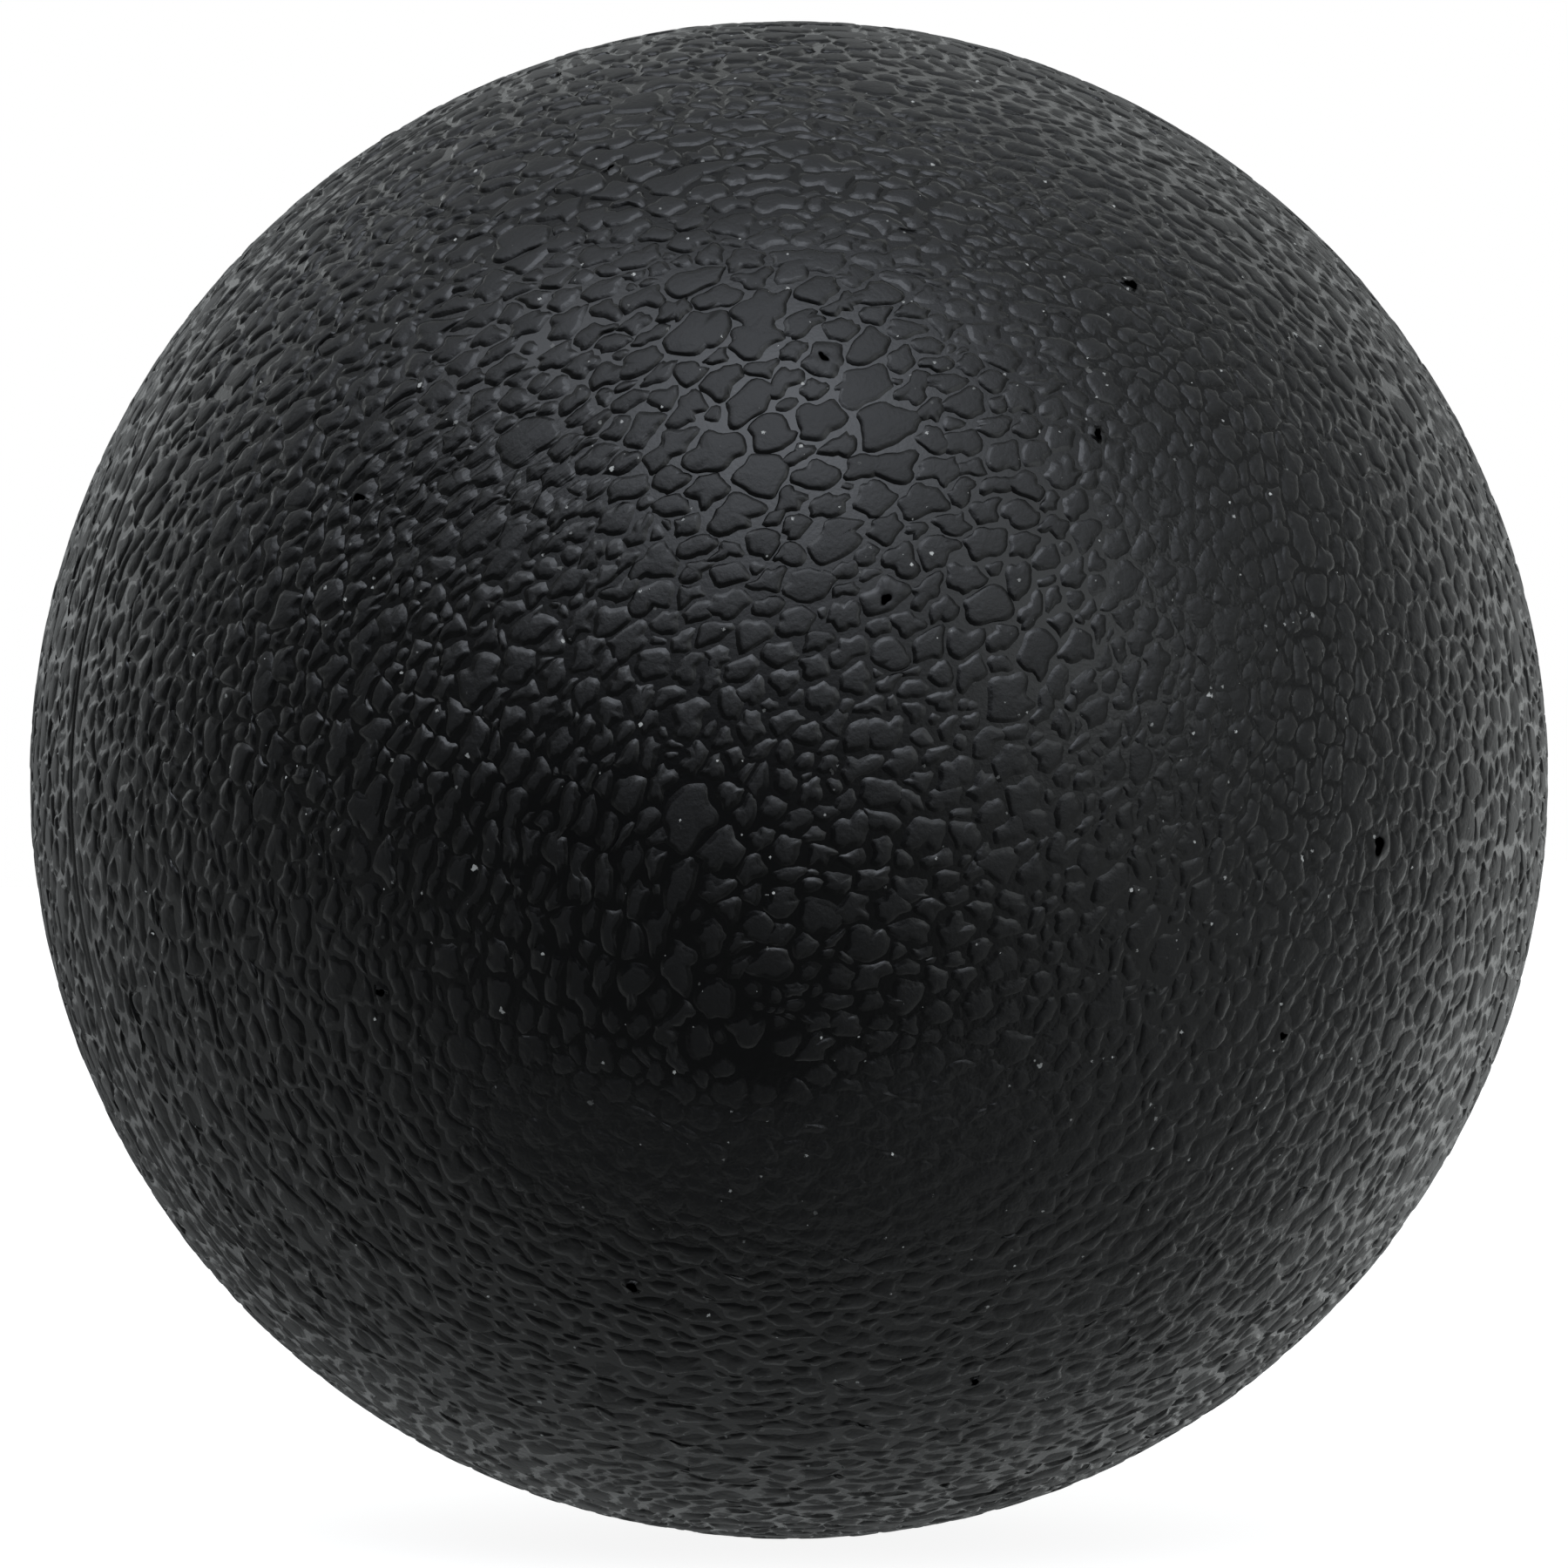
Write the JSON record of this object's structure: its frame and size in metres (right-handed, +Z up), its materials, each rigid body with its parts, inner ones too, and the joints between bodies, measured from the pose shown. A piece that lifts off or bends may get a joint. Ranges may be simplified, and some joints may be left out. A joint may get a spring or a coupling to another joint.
{
  "type": "lacrosse ball",
  "caption": "Solid black rubber ball with a fine pebbled grain all over and a faint mould parting line round the middle.",
  "frame": {"origin": "centre of the ball", "axes": "+Z up as the ball lies in the picture, +Y from the front cover towards the back cover, square to the parting line"},
  "size_m": [0.0634, 0.0636, 0.0634],
  "materials": {
    "core_rubber": "matte, pressed",
    "cover_rubber": "satin, pebbled grain"
  },
  "bodies": {
    "root": {"core": "core_rubber", "cover_front": "cover_rubber", "cover_back": "cover_rubber"}
  },
  "joints": []
}
